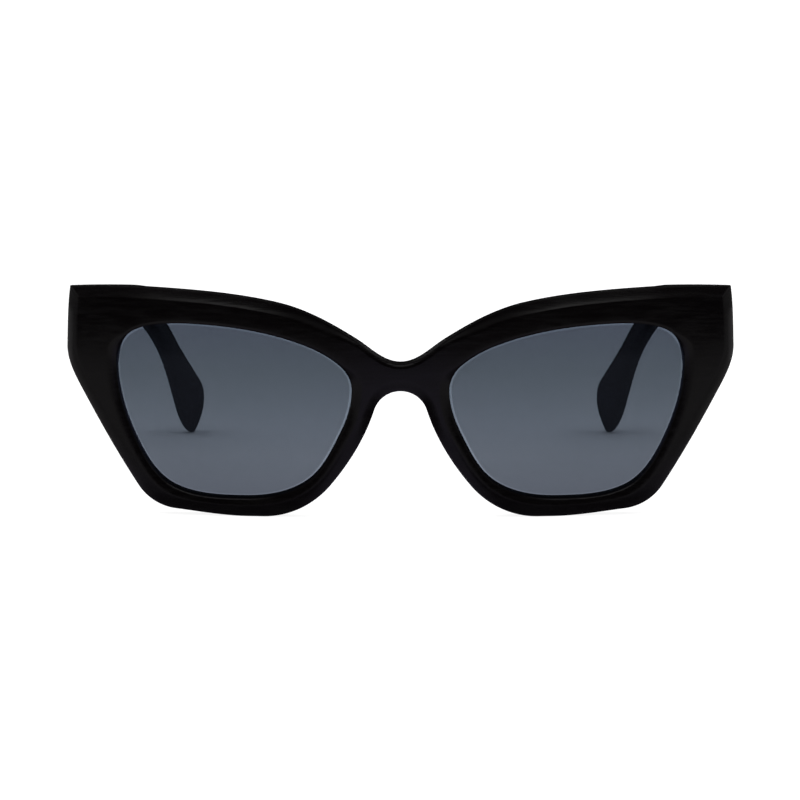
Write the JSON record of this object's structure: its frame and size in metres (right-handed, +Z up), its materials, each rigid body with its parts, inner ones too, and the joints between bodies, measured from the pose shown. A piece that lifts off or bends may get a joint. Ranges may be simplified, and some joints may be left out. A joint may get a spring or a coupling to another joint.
{
  "type": "cat eye sunglasses",
  "caption": "Cat eye sunglasses with a thick black acetate front, grey smoke lenses, bonded nose pads and folding temples on sunk hinges.",
  "frame": {"origin": "centre of the bounding box at the table plane, where the lower rims and the temple tips rest", "axes": "+Z up; the front faces -Y and the open temples run towards +Y; +X is the wearer's left"},
  "size_m": [0.1468, 0.1488, 0.05],
  "materials": {
    "black_acetate": "polished, nearly black acetate",
    "temple_acetate": "polished, nearly black acetate",
    "pad_acetate": "polished, nearly black acetate",
    "smoke_lens": "grey smoke tint, polished, lighter towards the bottom",
    "hinge_metal": "nickel silver, tumbled satin",
    "screw_steel": "turned stainless steel",
    "core_steel": "drawn steel wire"
  },
  "bodies": {
    "front": {"front_frame": "black_acetate", "left_lens": "smoke_lens", "right_lens": "smoke_lens", "left_nose_pad": "pad_acetate", "right_nose_pad": "pad_acetate", "left_front_hinge": "hinge_metal", "right_front_hinge": "hinge_metal", "left_hinge_screw": "screw_steel", "right_hinge_screw": "screw_steel"},
    "left_arm": {"left_temple": "temple_acetate", "left_core_wire": "core_steel", "left_temple_hinge": "hinge_metal"},
    "right_arm": {"right_temple": "temple_acetate", "right_core_wire": "core_steel", "right_temple_hinge": "hinge_metal"}
  },
  "joints": [
    {"name": "left_fold", "type": "hinge", "parent": "front", "child": "left_arm", "pos_m": [0.06445, -0.05517, 0.0434], "axis": [0, 0, 1], "range_deg": [0, 86]},
    {"name": "right_fold", "type": "hinge", "parent": "front", "child": "right_arm", "pos_m": [-0.06445, -0.05517, 0.0434], "axis": [0, 0, -1], "range_deg": [0, 69]}
  ]
}
